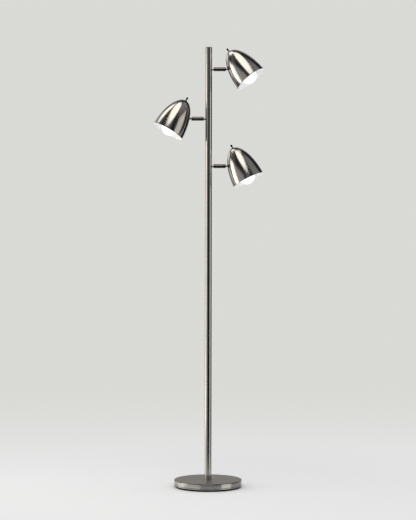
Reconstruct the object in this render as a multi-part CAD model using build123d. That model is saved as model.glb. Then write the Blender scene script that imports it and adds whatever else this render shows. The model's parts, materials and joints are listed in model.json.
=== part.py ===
from build123d import *

import os
from dataclasses import dataclass
from math import acos, cos, radians, sin

# A tree floor lamp with three heads. Millimetres. +Z is up, +X is the viewer's right and -Y
# points at the viewer. The origin is the centre of the base's underside, on the floor.

# Fits
TURNING_FIT = 0.05  # radial clearance of a shaft that turns in its hole
THREAD_FIT = 0.05  # radial clearance of a thread, drawn plain
LOOSE_FIT = 0.3  # clearance of a piece that only has to drop into place
SIDE_GAP = 0.1  # gap on each side of the eye between its two ears

# Base
BASE_DIAMETER = 254.0
COVER_HEIGHT = 21.5
COVER_WALL = 1.0
COVER_EDGE_RADIUS = 1.5
COVER_LIP_WIDTH = 12.0  # the skirt's foot, turned in under the weight
PAN_DIAMETER = 242.0
PAN_HEIGHT = 6.5
PAN_WALL = 3.0
PAN_FLOOR = 2.0
POCKET_INNER_DIAMETER = 84.0  # ring pocket cast in the underside of the weight
POCKET_OUTER_DIAMETER = 200.0
POCKET_DEPTH = 8.0
NUT_WELL_DIAMETER = 40.0
NUT_WELL_DEPTH = 6.5
CORD_CHANNEL_WIDTH = 12.0
CORD_CHANNEL_DEPTH = 12.5
GLAND_SHANK_DIAMETER = 10.0
GLAND_SHANK_LENGTH = 13.0
GLAND_FLANGE_DIAMETER = 13.5
GLAND_FLANGE_THICKNESS = 2.0
GLAND_BORE = 6.6

# Nipple that ties the base to the pole
NIPPLE_DIAMETER = 10.0
NIPPLE_BORE = 7.0
NIPPLE_GRIP = 15.0  # length screwed into the foot insert
NIPPLE_TAIL = 0.5  # length below the locknut
LOCKNUT_FLATS = 17.0
LOCKNUT_HEIGHT = 4.5
BASE_WASHER_DIAMETER = 28.0
BASE_WASHER_THICKNESS = 1.5

# Pole
POLE_DIAMETER = 25.4
POLE_WALL = 1.0
POLE_SECTION_LENGTH = 540.0
POLE_END_CHAMFER = 0.4
UPPER_HEAD_DROP = 79.5  # the upper arm's axis, below the top of the tubes
UPPER_HEAD_SPACING = 186.0  # from the upper arm's axis down to the middle one's
LOWER_HEAD_SPACING = 178.0  # and from there down to the lower one's
JOINT_STUD_DIAMETER = 12.0
JOINT_STUD_LENGTH = 12.0
INSERT_LENGTH = 15.0
CAP_THICKNESS = 3.0
CAP_PLUG_LENGTH = 10.0
CAP_CHAMFER = 0.6

# Arm: distances along it are from the pole's axis
POST_DIAMETER = 8.0
POST_BORE = 5.2
POST_COLLAR_DIAMETER = 9.8
POST_INNER_END = 4.0
POST_NUT_FLATS = 13.0
POST_NUT_HEIGHT = 5.0
COLLAR_LENGTH = 5.3  # bare neck between the pole and the sleeve
SLEEVE_DIAMETER = 15.0
SLEEVE_BORE = 12.8
SLEEVE_LENGTH = 46.0
SLEEVE_END_WALL = 4.0
SLEEVE_CHAMFER = 0.6
SPRING_WASHER_DIAMETER = 11.6
SPRING_WASHER_THICKNESS = 1.0
SWIVEL_NUT_DIAMETER = 12.0
SWIVEL_NUT_HEIGHT = 4.0
SWIVEL_NUT_SLOT_WIDTH = 1.6
SWIVEL_NUT_SLOT_DEPTH = 1.2
POST_TAIL = 1.5  # length past the round nut
STEM_PLUG_LENGTH = 12.0
STEM_DIAMETER = 6.5
STEM_BORE = 3.2
LEAD_OUTLET_DIAMETER = 3.0
LEAD_OUTLET_SETBACK = 7.0  # outlet's centre, back from the tilt axis
WEB_LENGTH = 9.0  # flat part of the stem, back from the tilt axis
PIVOT_REACH = 80.0  # tilt axis, from the pole's axis
EYE_DIAMETER = 9.0
EYE_THICKNESS = 5.0

# Head: heights are measured down its axis from the shade's tip
SHADE_LENGTH = 136.0
SHADE_RADIUS = 62.2  # half-width of the half ellipse that the shade is spun to
SHADE_HALF_AXIS = 150.0  # its other half axis, which runs along the head
SHADE_WALL = 0.8
PIVOT_DEPTH = 57.5
PIVOT_OFFSET = 39.5  # tilt axis to the head's axis
SLOT_CLEARANCE = 0.6
SLOT_REACH = 26.0
TILT_LOW = 0.0  # degrees from hanging straight down
TILT_HIGH = 50.0
TILT_MARGIN = 2.0
TILT_SCREW_DIAMETER = 4.0
TILT_SCREW_HEAD_DIAMETER = 7.0
TILT_SCREW_HEAD_HEIGHT = 2.4
TILT_NUT_FLATS = 7.0
TILT_NUT_HEIGHT = 3.2
TILT_SCREW_TAIL = 0.8
BRACKET_WIDTH = 12.0
BRACKET_THICKNESS = 1.5
BRACKET_TOP_DEPTH = 4.6
BRACKET_TOP_HALF_LENGTH = 11.5
BRACKET_KNEE = (24.5, 18.5)  # offset and depth of the bracket's second bend
BRACKET_END = (36.5, 43.5)
EAR_DIAMETER = 10.0
EAR_ROOT_DIAMETER = 6.0
BUSH_DIAMETER = 7.0
BUSH_STAND_OUT = 4.6
BUSH_NUT_FLATS = 10.5
INNER_BUSH_NUT_HEIGHT = 2.9
RING_NUT_DIAMETER = 9.4
RING_NUT_HEIGHT = 2.2
SWITCH_DIAMETERS = (24.0, 34.0)
SWITCH_CHAMFER = 3.0
SWITCH_STEP_DEPTH = 16.0
LAMPHOLDER_DIAMETER = 38.0
LAMPHOLDER_TOP_DEPTH = 24.0
LAMPHOLDER_LENGTH = 43.0
LAMPHOLDER_FLOOR = 14.0
SCREW_SHELL_DIAMETER = 28.8
SCREW_SHELL_WALL = 0.5
SCREW_SHELL_STANDOFF = 6.0
CONTACT_WIDTH = 6.0
CONTACT_THICKNESS = 0.6
BULB_LENGTH = 108.0
BULB_DIAMETER = 60.0
BULB_STAND_OUT = 14.0
BULB_GLASS = 0.9
BULB_NECK_DIAMETER = 24.6
BULB_NECK_LENGTH = 7.0
BULB_SHOULDER_RADIUS = 60.0
BULB_CAP_DIAMETER = 26.2
BULB_CAP_WALL = 0.5
BULB_CAP_LENGTH = 27.0
BULB_CAP_TAPER = 3.0
BULB_CONTACT_DIAMETER = 9.0
BULB_CONTACT_HEIGHT = 2.0
KNOB_DIAMETER = 6.0
KNOB_LENGTH = 8.4
KNOB_TIP_CHAMFER = 0.8
KNOB_FLUTES = 12
KNOB_FLUTE_DIAMETER = 0.7
KNOB_SHAFT_DIAMETER = 3.0
KNOB_SHAFT_DEPTH = 13.0
SHAFT_END_GAP = 0.5


@dataclass
class Head:
    """Where one head stands on the pole, and how it is turned in the rest pose, in degrees."""

    name: str
    height: float
    side: int  # 1 is the viewer's right of the pole, -1 the left
    tilt: float  # mouth outwards, from hanging straight down
    roll: float  # mouth towards the viewer, about the arm's axis


# Levels and radii that follow from the sizes above
BASE_TOP = PAN_HEIGHT + COVER_HEIGHT
LOWER_JOINT_LEVEL = BASE_TOP + POLE_SECTION_LENGTH
UPPER_JOINT_LEVEL = LOWER_JOINT_LEVEL + POLE_SECTION_LENGTH
POLE_TOP = UPPER_JOINT_LEVEL + POLE_SECTION_LENGTH
UPPER_HEAD_LEVEL = POLE_TOP - UPPER_HEAD_DROP
MIDDLE_HEAD_LEVEL = UPPER_HEAD_LEVEL - UPPER_HEAD_SPACING
LOWER_HEAD_LEVEL = MIDDLE_HEAD_LEVEL - LOWER_HEAD_SPACING
WEIGHT_BOTTOM = PAN_HEIGHT + COVER_WALL
WEIGHT_TOP = BASE_TOP - COVER_WALL
WEIGHT_RADIUS = BASE_DIAMETER / 2 - COVER_WALL - LOOSE_FIT
NUT_WELL_TOP = WEIGHT_BOTTOM + NUT_WELL_DEPTH
LOCKNUT_TOP = NUT_WELL_TOP - BASE_WASHER_THICKNESS
NIPPLE_BOTTOM = LOCKNUT_TOP - LOCKNUT_HEIGHT - NIPPLE_TAIL
GLAND_HEIGHT = WEIGHT_BOTTOM + CORD_CHANNEL_DEPTH / 2
TUBE_INNER_RADIUS = POLE_DIAMETER / 2 - POLE_WALL
INSERT_DIAMETER = 2 * (TUBE_INNER_RADIUS - THREAD_FIT)
COLLAR_END = POLE_DIAMETER / 2 + COLLAR_LENGTH
SLEEVE_START = COLLAR_END + LOOSE_FIT
SLEEVE_END = SLEEVE_START + SLEEVE_LENGTH
WASHER_START = SLEEVE_START + SLEEVE_END_WALL + SIDE_GAP
SWIVEL_NUT_START = WASHER_START + SPRING_WASHER_THICKNESS
SWIVEL_NUT_END = SWIVEL_NUT_START + SWIVEL_NUT_HEIGHT
STEM_SHOULDER = PIVOT_REACH - WEB_LENGTH
EAR_INNER_FACE = EYE_THICKNESS / 2 + SIDE_GAP
EAR_OUTER_FACE = EAR_INNER_FACE + BRACKET_THICKNESS
BUSH_RADIUS = BUSH_DIAMETER / 2
SWITCH_TOP_DEPTH = BRACKET_TOP_DEPTH + BRACKET_THICKNESS
BULB_TIP_DEPTH = SHADE_LENGTH + BULB_STAND_OUT
BULB_CONTACT_DEPTH = BULB_TIP_DEPTH - BULB_LENGTH
BULB_CAP_TOP_DEPTH = BULB_CONTACT_DEPTH + BULB_CONTACT_HEIGHT
BULB_CAP_END_DEPTH = BULB_CONTACT_DEPTH + BULB_CAP_LENGTH

HEADS = (
    Head("upper", UPPER_HEAD_LEVEL, 1, 37.3, 10.7),
    Head("middle", MIDDLE_HEAD_LEVEL, -1, 29.8, 7.0),
    Head("lower", LOWER_HEAD_LEVEL, 1, 26.2, 7.0),
)
LOW = (Align.CENTER, Align.CENTER, Align.MIN)


def rod(diameter, start, end):
    """A round bar along Z, from one height to another."""
    return Pos(0, 0, start) * Cylinder(diameter / 2, end - start, align=LOW)


def ring(diameter, bore, start, end):
    """A round bar with a hole down its middle."""
    return rod(diameter, start, end) - rod(bore, start, end)


def spun(*outline):
    """A turned piece: an outline of radius and height, spun about Z."""
    return revolve(Plane.XZ * make_face(Polyline(*outline, close=True)), Axis.Z)


def hexagon(across_flats, bore, start, end):
    """A hexagonal nut along Z, with two of its corners on the X axis."""
    outline = RegularPolygon(across_flats / 2, 6, major_radius=False)
    return extrude(Pos(0, 0, start) * outline, end - start) - rod(bore, start, end)


def along_y(diameter, start, end):
    """A round bar along Y."""
    return Rot(-90, 0, 0) * rod(diameter, start, end)


# ---- Base ----


def base_pan():
    """The black underside, whose flat floor is all that touches the ground."""
    pan = rod(PAN_DIAMETER, 0, PAN_HEIGHT)
    return pan - rod(PAN_DIAMETER - 2 * PAN_WALL, PAN_FLOOR, PAN_HEIGHT)


def base_cover():
    """The spun cover: top, skirt and a foot turned in under the weight."""
    skin = rod(BASE_DIAMETER, PAN_HEIGHT, BASE_TOP)
    skin = fillet(skin.edges().group_by(Axis.Z)[-1], COVER_EDGE_RADIUS)
    inside = rod(BASE_DIAMETER - 2 * COVER_WALL, WEIGHT_BOTTOM, WEIGHT_TOP)
    inside = fillet(inside.edges().group_by(Axis.Z)[-1], COVER_EDGE_RADIUS - COVER_WALL / 2)
    mouth = rod(BASE_DIAMETER - 2 * COVER_LIP_WIDTH, PAN_HEIGHT, WEIGHT_BOTTOM)
    nipple_hole = rod(NIPPLE_DIAMETER + 2 * LOOSE_FIT, WEIGHT_TOP, BASE_TOP)
    gland_hole = gland_bore(GLAND_SHANK_DIAMETER + 2 * THREAD_FIT)
    return skin - inside - mouth - nipple_hole - gland_hole


def base_weight():
    """The cast weight, with a ring pocket, a well for the locknut and a channel for the cord."""
    weight = rod(2 * WEIGHT_RADIUS, WEIGHT_BOTTOM, WEIGHT_TOP)
    weight = fillet(weight.edges().group_by(Axis.Z)[-1], COVER_EDGE_RADIUS)
    pocket_top = WEIGHT_BOTTOM + POCKET_DEPTH
    weight -= ring(POCKET_OUTER_DIAMETER, POCKET_INNER_DIAMETER, WEIGHT_BOTTOM, pocket_top)
    weight -= rod(NUT_WELL_DIAMETER, WEIGHT_BOTTOM, NUT_WELL_TOP)
    weight -= rod(NIPPLE_DIAMETER + 2 * LOOSE_FIT, NUT_WELL_TOP, WEIGHT_TOP)
    channel_start = NUT_WELL_DIAMETER / 2 - CORD_CHANNEL_WIDTH / 2
    channel = Box(
        CORD_CHANNEL_WIDTH,
        BASE_DIAMETER / 2 - channel_start,
        CORD_CHANNEL_DEPTH,
        align=(Align.CENTER, Align.MIN, Align.MIN),
    )
    return weight - Pos(0, channel_start, WEIGHT_BOTTOM) * channel


def gland_bore(diameter):
    """A round bar on the gland's axis, from inside the channel to outside the base."""
    start = BASE_DIAMETER / 2 - GLAND_SHANK_LENGTH
    return Pos(0, 0, GLAND_HEIGHT) * along_y(diameter, start, BASE_DIAMETER / 2 + GLAND_FLANGE_THICKNESS)


def cord_gland():
    """The bush in the back of the base that the supply cord passes through."""
    face = BASE_DIAMETER / 2
    shank = along_y(GLAND_SHANK_DIAMETER, face - GLAND_SHANK_LENGTH, face)
    flange = along_y(GLAND_FLANGE_DIAMETER, face, face + GLAND_FLANGE_THICKNESS)
    flange = chamfer(flange.edges().group_by(Axis.Y)[-1], GLAND_FLANGE_THICKNESS / 4)
    return Pos(0, 0, GLAND_HEIGHT) * (shank + flange) - gland_bore(GLAND_BORE)


def base_nipple():
    return ring(NIPPLE_DIAMETER, NIPPLE_BORE, NIPPLE_BOTTOM, BASE_TOP + NIPPLE_GRIP)


def base_washer():
    return ring(BASE_WASHER_DIAMETER, NIPPLE_DIAMETER + 2 * THREAD_FIT, LOCKNUT_TOP, NUT_WELL_TOP)


def base_locknut():
    bore = NIPPLE_DIAMETER + 2 * THREAD_FIT
    return hexagon(LOCKNUT_FLATS, bore, LOCKNUT_TOP - LOCKNUT_HEIGHT, LOCKNUT_TOP)


# ---- Pole ----


def pole_section(start):
    """One tube of the pole, its ends chamfered so that each joint shows as a fine groove."""
    tube = ring(POLE_DIAMETER, 2 * TUBE_INNER_RADIUS, start, start + POLE_SECTION_LENGTH)
    rims = tube.edges().filter_by(GeomType.CIRCLE).sort_by(SortBy.RADIUS)[-2:]
    return chamfer(rims, POLE_END_CHAMFER)


def foot_insert():
    """The insert in the pole's foot that screws on to the nipple."""
    bore = NIPPLE_DIAMETER + 2 * THREAD_FIT
    return ring(INSERT_DIAMETER, bore, BASE_TOP, BASE_TOP + INSERT_LENGTH)


def joint_stud(level):
    """The insert with a hollow stud at the top of a section."""
    body = rod(INSERT_DIAMETER, level - INSERT_LENGTH, level)
    stud = rod(JOINT_STUD_DIAMETER, level, level + JOINT_STUD_LENGTH)
    return body + stud - rod(NIPPLE_BORE, level - INSERT_LENGTH, level + JOINT_STUD_LENGTH)


def joint_socket(level):
    """The insert at the foot of the next section, which screws on to the stud."""
    bore = JOINT_STUD_DIAMETER + 2 * THREAD_FIT
    return ring(INSERT_DIAMETER, bore, level, level + INSERT_LENGTH)


def pole_cap(level):
    """The flat cap with its plug."""
    disc = rod(POLE_DIAMETER, level, level + CAP_THICKNESS)
    disc = chamfer(disc.edges().group_by(Axis.Z)[-1], CAP_CHAMFER)
    return disc + rod(INSERT_DIAMETER, level - CAP_PLUG_LENGTH, level)


# ---- Arm: drawn along Z, with height for distance from the pole's axis ----


def arm_post():
    """The hollow post through the pole's wall, with a bare collar that shows as a neck."""
    collar = rod(POST_COLLAR_DIAMETER, POLE_DIAMETER / 4, COLLAR_END)
    pole = Rot(0, 90, 0) * Cylinder(POLE_DIAMETER / 2 + THREAD_FIT, 2 * POLE_DIAMETER)
    post = collar - pole + rod(POST_DIAMETER, POST_INNER_END, SWIVEL_NUT_END + POST_TAIL)
    return post - rod(POST_BORE, POST_INNER_END, SWIVEL_NUT_END + POST_TAIL)


def arm_post_nut():
    """The nut inside the pole, its flats upright so that its edges bear on the round wall."""
    bear = (TUBE_INNER_RADIUS**2 - (POST_NUT_FLATS / 2) ** 2) ** 0.5
    return hexagon(POST_NUT_FLATS, POST_DIAMETER + 2 * THREAD_FIT, bear - POST_NUT_HEIGHT, bear)


def spring_washer():
    bore = POST_DIAMETER + 2 * THREAD_FIT
    return ring(SPRING_WASHER_DIAMETER, bore, WASHER_START, SWIVEL_NUT_START)


def swivel_nut():
    """The round nut that keeps the sleeve on the post, with a slot across its face."""
    bore = POST_DIAMETER + 2 * THREAD_FIT
    nut = ring(SWIVEL_NUT_DIAMETER, bore, SWIVEL_NUT_START, SWIVEL_NUT_END)
    slot = Box(SWIVEL_NUT_DIAMETER, SWIVEL_NUT_SLOT_WIDTH, 2 * SWIVEL_NUT_SLOT_DEPTH)
    return nut - Pos(0, 0, SWIVEL_NUT_END) * slot


def sleeve():
    """The arm's sleeve, whose end wall turns on the post."""
    tube = rod(SLEEVE_DIAMETER, SLEEVE_START, SLEEVE_END)
    tube = chamfer(tube.edges().filter_by(GeomType.CIRCLE), SLEEVE_CHAMFER)
    tube -= rod(SLEEVE_BORE, SLEEVE_START + SLEEVE_END_WALL, SLEEVE_END)
    return tube - rod(POST_DIAMETER + 2 * TURNING_FIT, SLEEVE_START, SLEEVE_START + SLEEVE_END_WALL)


def stem():
    """The plug in the sleeve's outer end, the thin stem and the eye that the head tilts on."""
    plug = rod(SLEEVE_BORE - 2 * THREAD_FIT, SLEEVE_END - STEM_PLUG_LENGTH, SLEEVE_END)
    bar = rod(STEM_DIAMETER, SLEEVE_END, STEM_SHOULDER)
    web = rod(STEM_DIAMETER, STEM_SHOULDER, PIVOT_REACH)
    web &= Pos(0, 0, PIVOT_REACH) * Box(STEM_DIAMETER, EYE_THICKNESS, PIVOT_REACH)
    eye = Pos(0, 0, PIVOT_REACH) * along_y(EYE_DIAMETER, -EYE_THICKNESS / 2, EYE_THICKNESS / 2)
    outlet_level = PIVOT_REACH - LEAD_OUTLET_SETBACK
    whole = plug + bar + web + eye
    whole -= rod(STEM_BORE, SLEEVE_END - STEM_PLUG_LENGTH, outlet_level)
    whole -= Pos(0, 0, outlet_level) * Rot(0, 90, 0) * rod(LEAD_OUTLET_DIAMETER, 0, STEM_DIAMETER)
    screw_hole = along_y(TILT_SCREW_DIAMETER + 2 * TURNING_FIT, -EYE_THICKNESS, EYE_THICKNESS)
    return whole - Pos(0, 0, PIVOT_REACH) * screw_hole


# ---- Head: drawn hanging straight down, its tip at the origin and the pole towards -X ----


def shade_slot():
    """The space that the stem sweeps through the shade's wall between the tilt's two limits."""
    width = STEM_DIAMETER + 2 * SLOT_CLEARANCE
    low, high = TILT_LOW - TILT_MARGIN, TILT_HIGH + TILT_MARGIN
    ends = [Rot(0, angle, 0) * Rot(0, -90, 0) * rod(width, 0, SLOT_REACH) for angle in (low, high)]
    corners = [(-SLOT_REACH * cos(radians(a)), SLOT_REACH * sin(radians(a))) for a in (low, high)]
    fan = extrude(Plane.XZ * make_face(Polyline((0, 0), *corners, close=True)), width / 2, both=True)
    return Pos(-PIVOT_OFFSET, 0, -PIVOT_DEPTH) * (ends[0] + ends[1] + fan)


def shade():
    """The spun shade: a band between two half ellipses, spun about the head's axis."""
    outer = Ellipse(SHADE_RADIUS, SHADE_HALF_AXIS)
    inner = Ellipse(SHADE_RADIUS - SHADE_WALL, SHADE_HALF_AXIS - SHADE_WALL)
    band = Pos(0, -SHADE_HALF_AXIS) * (outer - inner)
    hole_radius = BUSH_RADIUS + SIDE_GAP
    keep = Pos(hole_radius, -SHADE_LENGTH) * Rectangle(
        SHADE_RADIUS, 2 * SHADE_LENGTH, align=(Align.MIN, Align.MIN)
    )
    return revolve(Plane.XZ * (band & keep), Axis.Z) - shade_slot()


def bracket():
    """The strap from the shade's tip down to two ears, which carries the head on the stem."""
    knee_offset, knee_depth = BRACKET_KNEE
    end_offset, end_depth = BRACKET_END
    top = -BRACKET_TOP_DEPTH - BRACKET_THICKNESS / 2
    bends = (
        (BRACKET_TOP_HALF_LENGTH, top),
        (-BRACKET_TOP_HALF_LENGTH, top),
        (-knee_offset, -knee_depth),
        (-end_offset, -end_depth),
    )
    strap = extrude(Plane.XZ * trace(Polyline(*bends), BRACKET_THICKNESS), BRACKET_WIDTH / 2, both=True)
    strap -= rod(BUSH_DIAMETER + 2 * THREAD_FIT, -SWITCH_TOP_DEPTH, 0)
    eye_edge = Pos(-PIVOT_OFFSET, -PIVOT_DEPTH) * Circle(EAR_DIAMETER / 2).edge()
    root_edge = Pos(-end_offset, -end_depth) * Circle(EAR_ROOT_DIAMETER / 2).edge()
    ears = extrude(Plane.XZ * make_hull([eye_edge, root_edge]), EAR_OUTER_FACE, both=True)
    ears -= Pos(-PIVOT_OFFSET, 0, -PIVOT_DEPTH) * Box(
        PIVOT_OFFSET, 2 * EAR_INNER_FACE, 2 * (PIVOT_DEPTH - end_depth)
    )
    screw_hole = along_y(TILT_SCREW_DIAMETER + 2 * THREAD_FIT, -BRACKET_WIDTH, BRACKET_WIDTH)
    return strap + ears - Pos(-PIVOT_OFFSET, 0, -PIVOT_DEPTH) * screw_hole


def tilt_screw():
    """The screw through both ears and the eye, and its nut, as two solids."""
    head_end = EAR_OUTER_FACE + TILT_SCREW_HEAD_HEIGHT
    shank_end = -EAR_OUTER_FACE - TILT_NUT_HEIGHT - TILT_SCREW_TAIL
    head = along_y(TILT_SCREW_HEAD_DIAMETER, EAR_OUTER_FACE, head_end)
    screw = head + along_y(TILT_SCREW_DIAMETER, shank_end, EAR_OUTER_FACE)
    bore = TILT_SCREW_DIAMETER + 2 * THREAD_FIT
    nut_start = -EAR_OUTER_FACE - TILT_NUT_HEIGHT
    nut = Rot(-90, 0, 0) * hexagon(TILT_NUT_FLATS, bore, nut_start, -EAR_OUTER_FACE)
    return Pos(-PIVOT_OFFSET, 0, -PIVOT_DEPTH) * Compound(children=[screw, nut])


def switch_housing():
    """The rotary switch, whose threaded bush passes out through the shade's tip."""
    small, large = SWITCH_DIAMETERS
    housing = rod(small, -SWITCH_STEP_DEPTH, -SWITCH_TOP_DEPTH)
    housing = chamfer(housing.edges().group_by(Axis.Z)[-1], SWITCH_CHAMFER)
    housing += rod(large, -LAMPHOLDER_TOP_DEPTH, -SWITCH_STEP_DEPTH)
    housing += rod(BUSH_DIAMETER, -SWITCH_TOP_DEPTH, BUSH_STAND_OUT)
    bore_end = KNOB_SHAFT_DEPTH + SHAFT_END_GAP
    return housing - rod(KNOB_SHAFT_DIAMETER + 2 * TURNING_FIT, -bore_end, BUSH_STAND_OUT)


def bush_nuts():
    """The nut under the shade and the ring nut on its tip, as two solids."""
    bore = BUSH_DIAMETER + 2 * THREAD_FIT
    inner_end = -BRACKET_TOP_DEPTH + INNER_BUSH_NUT_HEIGHT
    inner = hexagon(BUSH_NUT_FLATS, bore, -BRACKET_TOP_DEPTH, inner_end)
    outer = ring(RING_NUT_DIAMETER, bore, 0, RING_NUT_HEIGHT)
    outer = chamfer(outer.edges().group_by(Axis.Z)[-1].sort_by(SortBy.RADIUS)[-1], RING_NUT_HEIGHT / 4)
    return Compound(children=[inner, Pos(0, 0, -2 * SIDE_GAP) * outer])


def lampholder():
    """The cup that holds the screw shell."""
    bottom = -LAMPHOLDER_TOP_DEPTH - LAMPHOLDER_LENGTH
    cup = rod(LAMPHOLDER_DIAMETER, bottom, -LAMPHOLDER_TOP_DEPTH)
    bore = SCREW_SHELL_DIAMETER + 2 * THREAD_FIT
    return cup - rod(bore, bottom, -LAMPHOLDER_TOP_DEPTH - LAMPHOLDER_FLOOR)


def contacts():
    """The screw shell and the centre contact's leaf, as two solids."""
    floor = -LAMPHOLDER_TOP_DEPTH - LAMPHOLDER_FLOOR
    mouth = -LAMPHOLDER_TOP_DEPTH - LAMPHOLDER_LENGTH + LOOSE_FIT
    shell_bore = SCREW_SHELL_DIAMETER - 2 * SCREW_SHELL_WALL
    shell = ring(SCREW_SHELL_DIAMETER, shell_bore, mouth, floor - SCREW_SHELL_STANDOFF)
    root_level = floor - CONTACT_THICKNESS / 2
    tip_level = -BULB_CONTACT_DEPTH + SIDE_GAP + CONTACT_THICKNESS / 2
    bends = (
        (-SCREW_SHELL_DIAMETER / 4, root_level),
        (-CONTACT_WIDTH, root_level),
        (-CONTACT_WIDTH / 2, tip_level),
        (CONTACT_WIDTH / 2, tip_level),
    )
    leaf = extrude(Plane.XZ * trace(Polyline(*bends), CONTACT_THICKNESS), CONTACT_WIDTH / 2, both=True)
    return Compound(children=[shell, leaf])


def bulb_outline(inset):
    """The bulb's half section, set in by the glass thickness for its inside."""
    crown = BULB_DIAMETER / 2 - inset
    neck = BULB_NECK_DIAMETER / 2 - inset
    shoulder = BULB_SHOULDER_RADIUS + inset
    crown_level = -BULB_TIP_DEPTH + BULB_DIAMETER / 2
    neck_top = -BULB_CAP_END_DEPTH + BULB_NECK_LENGTH
    # The hollow shoulder leaves the neck upright and meets the round crown along its tangent.
    turn = acos((neck + shoulder) / (crown + shoulder))
    shoulder_level = crown_level + (crown + shoulder) * sin(turn)
    shoulder_mid = (
        neck + shoulder - shoulder * cos(turn / 2),
        shoulder_level - shoulder * sin(turn / 2),
    )
    meeting = (crown * cos(turn), crown_level + crown * sin(turn))
    side = (crown, crown_level)
    tip = (0, crown_level - crown)
    return [
        Polyline((0, tip[1]), (0, neck_top), (neck, neck_top), (neck, shoulder_level)),
        ThreePointArc((neck, shoulder_level), shoulder_mid, meeting),
        ThreePointArc(meeting, side, tip),
    ]


def bulb_glass():
    """The frosted envelope, open at its neck."""
    outer, inner = (
        revolve(Plane.XZ * make_face(bulb_outline(inset)), Axis.Z) for inset in (0, BULB_GLASS)
    )
    neck_bore = BULB_NECK_DIAMETER - 2 * BULB_GLASS
    neck_top = -BULB_CAP_END_DEPTH + BULB_NECK_LENGTH
    return outer - inner - rod(neck_bore, neck_top - BULB_GLASS, neck_top)


def bulb_cap():
    """The screw cap, its thread drawn plain, with the centre contact on its end."""
    outer, inner = BULB_CAP_DIAMETER / 2, BULB_CAP_DIAMETER / 2 - BULB_CAP_WALL
    contact = BULB_CONTACT_DIAMETER / 2
    shoulder = BULB_CAP_TOP_DEPTH + BULB_CAP_TAPER
    return spun(
        (inner, -BULB_CAP_END_DEPTH),
        (outer, -BULB_CAP_END_DEPTH),
        (outer, -shoulder),
        (contact, -BULB_CAP_TOP_DEPTH),
        (contact, -BULB_CONTACT_DEPTH),
        (0, -BULB_CONTACT_DEPTH),
        (0, -BULB_CAP_TOP_DEPTH - BULB_CAP_WALL),
        (contact - BULB_CAP_WALL, -BULB_CAP_TOP_DEPTH - BULB_CAP_WALL),
        (inner, -shoulder - BULB_CAP_WALL),
    )


def knob():
    """The fluted switch knob with the shaft that turns in the bush."""
    start = BUSH_STAND_OUT + LOOSE_FIT
    grip = rod(KNOB_DIAMETER, start, start + KNOB_LENGTH)
    grip = chamfer(grip.edges().group_by(Axis.Z)[-1], KNOB_TIP_CHAMFER)
    for index in range(KNOB_FLUTES):
        flute = Pos(KNOB_DIAMETER / 2, 0, 0) * rod(KNOB_FLUTE_DIAMETER, start, start + KNOB_LENGTH)
        grip -= Rot(0, 0, index * 360 / KNOB_FLUTES) * flute
    return grip + rod(KNOB_SHAFT_DIAMETER, -KNOB_SHAFT_DEPTH, start)


# ---- Places and the whole lamp ----


def arm_place(head, rolled=True):
    """Where a piece drawn along Z stands on the arm, rolled with the head or not."""
    roll = -head.side * head.roll if rolled else 0
    side_turn = 90 - 90 * head.side
    return Pos(0, 0, head.height) * Rot(0, 0, side_turn) * Rot(roll, 0, 0) * Rot(0, 90, 0)


def head_place(head):
    """Where a piece drawn in the head's own frame stands in the rest pose."""
    upright = arm_place(head) * Pos(0, 0, PIVOT_REACH) * Rot(0, -90, 0)
    return upright * Rot(0, -head.tilt, 0) * Pos(PIVOT_OFFSET, 0, PIVOT_DEPTH)


def on_every_arm(piece):
    """Three copies of a piece that stays with the pole, one on each arm."""
    return Compound(children=[arm_place(head, rolled=False) * piece for head in HEADS])


def upper_pole_section(start):
    """The top tube, with a hole for each post."""
    tube = pole_section(start)
    hole = rod(POST_DIAMETER + 2 * THREAD_FIT, 0, POLE_DIAMETER)
    for head in HEADS:
        tube -= arm_place(head, rolled=False) * hole
    return tube


def lamp():
    """Every piece of the lamp, by name."""
    pieces = {
        "base_pan": base_pan(),
        "base_cover": base_cover(),
        "base_weight": base_weight(),
        "cord_gland": cord_gland(),
        "base_nipple": base_nipple(),
        "base_washer": base_washer(),
        "base_locknut": base_locknut(),
        "foot_insert": foot_insert(),
        "pole_lower": pole_section(BASE_TOP),
        "lower_joint_stud": joint_stud(LOWER_JOINT_LEVEL),
        "lower_joint_socket": joint_socket(LOWER_JOINT_LEVEL),
        "pole_middle": pole_section(LOWER_JOINT_LEVEL),
        "upper_joint_stud": joint_stud(UPPER_JOINT_LEVEL),
        "upper_joint_socket": joint_socket(UPPER_JOINT_LEVEL),
        "pole_upper": upper_pole_section(UPPER_JOINT_LEVEL),
        "pole_cap": pole_cap(POLE_TOP),
        "arm_post_nuts": on_every_arm(arm_post_nut()),
        "spring_washers": on_every_arm(spring_washer()),
        "swivel_nuts": on_every_arm(swivel_nut()),
    }
    arm_pieces = {"sleeve": sleeve(), "stem": stem()}
    head_pieces = {
        "shade": shade(),
        "bracket": bracket(),
        "tilt_screw": tilt_screw(),
        "switch_housing": switch_housing(),
        "bush_nuts": bush_nuts(),
        "lampholder": lampholder(),
        "contacts": contacts(),
        "bulb_glass": bulb_glass(),
        "bulb_cap": bulb_cap(),
        "switch_knob": knob(),
    }
    for head in HEADS:
        pieces[f"arm_post_{head.name}"] = arm_place(head, rolled=False) * arm_post()
        for name, piece in arm_pieces.items():
            pieces[f"{name}_{head.name}"] = arm_place(head) * piece
        for name, piece in head_pieces.items():
            pieces[f"{name}_{head.name}"] = head_place(head) * piece
    return pieces


os.makedirs("parts", exist_ok=True)
for piece_name, piece in lamp().items():
    export_step(piece, f"parts/{piece_name}.step")
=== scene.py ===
import json
from math import acos, asin, cos, degrees, pi, radians, sin

import bpy
from mathutils import Matrix, Vector


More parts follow.
